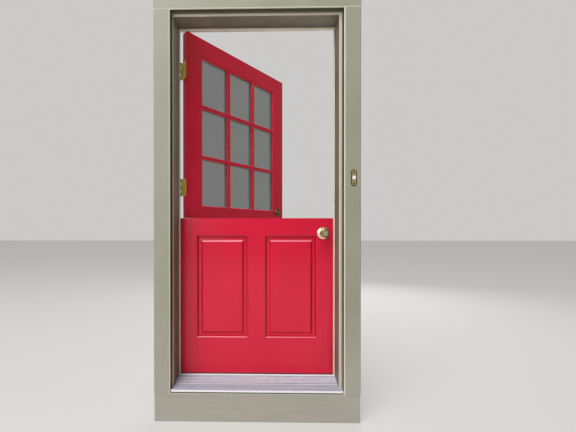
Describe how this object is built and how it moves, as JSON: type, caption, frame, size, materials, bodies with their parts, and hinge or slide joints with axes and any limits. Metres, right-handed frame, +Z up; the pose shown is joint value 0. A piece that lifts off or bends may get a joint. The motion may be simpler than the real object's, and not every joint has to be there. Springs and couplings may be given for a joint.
{
  "type": "dutch stable door",
  "caption": "Two-leaf dutch stable door in a rabbeted frame with casing, sill and apron: glazed upper leaf standing open inwards, panelled lower leaf shut.",
  "frame": {"origin": "middle of the doorway, on the underside of the sill, at the wall's outer face", "axes": "+X to the right seen from outside, +Y into the house, +Z up"},
  "size_m": [1.1092, 0.9119, 2.3016],
  "materials": {
    "frame_paint": "olive-grey paint, satin",
    "door_paint": "red gloss paint",
    "inside_paint": "white satin paint",
    "bare_wood": "unpainted softwood",
    "mill_aluminium": "mill finish",
    "seal_foam": "matte beige skin",
    "brass": "polished",
    "screw_brass": "satin",
    "dark_bronze": "aged dark brass",
    "plug_steel": "plain",
    "button_white": "gloss",
    "plug_plastic": "matte",
    "sweep_vinyl": "matte",
    "window_glass": "clear"
  },
  "bodies": {
    "frame": {"hinge_jamb": "frame_paint", "strike_jamb": "frame_paint", "head_jamb": "frame_paint", "casing_left": "frame_paint", "casing_right": "frame_paint", "casing_head": "frame_paint", "bead_left": "frame_paint", "bead_right": "frame_paint", "bead_head": "frame_paint", "apron_board": "frame_paint", "sill_board": "bare_wood", "threshold_deck": "mill_aluminium", "threshold_cap": "mill_aluminium", "seal_hinge_side": "seal_foam", "seal_strike_side": "seal_foam", "seal_head": "seal_foam", "frame_hinge_leaves": "brass", "hinge_pins": "brass", "frame_screws": "screw_brass", "latch_strike": "brass", "deadbolt_strike": "brass", "bell_plate": "brass"},
    "bell_button": {"bell_button": "button_white"},
    "upper_leaf": {"upper_hinge_stile": "door_paint", "upper_lock_stile": "door_paint", "upper_top_rail": "door_paint", "upper_bottom_rail": "door_paint", "bar_hinge_side": "door_paint", "bar_lock_side": "door_paint", "cross_bars": "door_paint", "glass_panes": "window_glass", "glazing_beads": "inside_paint", "upper_hinge_leaves": "brass", "upper_screws": "screw_brass", "deadbolt_case": "brass", "deadbolt_ring": "dark_bronze", "deadbolt_turn_plate": "brass", "quadrant_plate": "brass", "contact_plug": "plug_plastic"},
    "thumb_turn": {"thumb_turn": "brass"},
    "deadbolt": {"deadbolt": "brass"},
    "deadbolt_key_plug": {"deadbolt_key_plug": "plug_steel"},
    "quadrant": {"quadrant": "brass"},
    "lower_leaf": {"lower_hinge_stile": "door_paint", "lower_lock_stile": "door_paint", "lower_top_rail": "door_paint", "lower_bottom_rail": "door_paint", "mullion": "door_paint", "panel_hinge_side": "door_paint", "panel_lock_side": "door_paint", "lower_hinge_leaves": "brass", "lower_screws": "screw_brass", "latch_case": "brass", "knob_roses": "brass", "quadrant_keep": "brass", "door_sweep": "sweep_vinyl"},
    "knob_set": {"knob_set": "brass"},
    "latch_bolt": {"latch_bolt": "brass"},
    "knob_key_plug": {"knob_key_plug": "plug_steel"},
    "turn_button": {"turn_button": "brass"}
  },
  "joints": [
    {"name": "upper_leaf_hinge", "type": "hinge", "parent": "frame", "child": "upper_leaf", "pos_m": [-0.4588, 0.1877, 1.501], "axis": [0, 0, 1], "range_deg": [-49.6, 70.4]},
    {"name": "lower_leaf_hinge", "type": "hinge", "parent": "frame", "child": "lower_leaf", "pos_m": [-0.4588, 0.1877, 0.496], "axis": [0, 0, 1], "range_deg": [0, 120]},
    {"name": "bell_button_press", "type": "slide", "parent": "frame", "child": "bell_button", "axis": [0, 1, 0], "range_m": [0, 0.002], "stiffness_N_per_m": 300},
    {"name": "thumb_turn_pivot", "type": "hinge", "parent": "upper_leaf", "child": "thumb_turn", "pos_m": [0.1055, 0.81835, 1.0176], "axis": [-0.7615, 0.6481, 0], "range_deg": [0, 90]},
    {"name": "deadbolt_slide", "type": "slide", "parent": "upper_leaf", "child": "deadbolt", "axis": [0.6481, 0.7615, 0], "range_m": [0, 0.0254]},
    {"name": "deadbolt_key_turn", "type": "hinge", "parent": "upper_leaf", "child": "deadbolt_key_plug", "pos_m": [0.13935, 0.78954, 1.0176], "axis": [0.7615, -0.6481, 0], "range_deg": [0, 90]},
    {"name": "quadrant_pivot", "type": "hinge", "parent": "upper_leaf", "child": "quadrant", "pos_m": [0.04199, 0.74372, 0.9761], "axis": [0.7615, -0.6481, 0], "range_deg": [0, 90]},
    {"name": "knob_turn", "type": "hinge", "parent": "lower_leaf", "child": "knob_set", "pos_m": [0.3872, 0.14447, 0.8603], "axis": [0, 1, 0], "range_deg": [0, 60], "stiffness_Nm_per_rad": 0.25},
    {"name": "latch_slide", "type": "slide", "parent": "lower_leaf", "child": "latch_bolt", "axis": [-1, 0, 0], "range_m": [0, 0.0127]},
    {"name": "knob_key_turn", "type": "hinge", "parent": "knob_set", "child": "knob_key_plug", "pos_m": [0.3872, 0.06525, 0.8603], "axis": [0, -1, 0], "range_deg": [0, 90]},
    {"name": "turn_button_pivot", "type": "hinge", "parent": "knob_set", "child": "turn_button", "pos_m": [0.3872, 0.2237, 0.8603], "axis": [0, 1, 0], "range_deg": [0, 90]}
  ],
  "couplings": [
    {"joint": "thumb_turn_pivot", "follows": "deadbolt_slide", "rad_per_m": 61.8},
    {"joint": "latch_slide", "follows": "knob_turn", "m_per_rad": 0.0121}
  ]
}
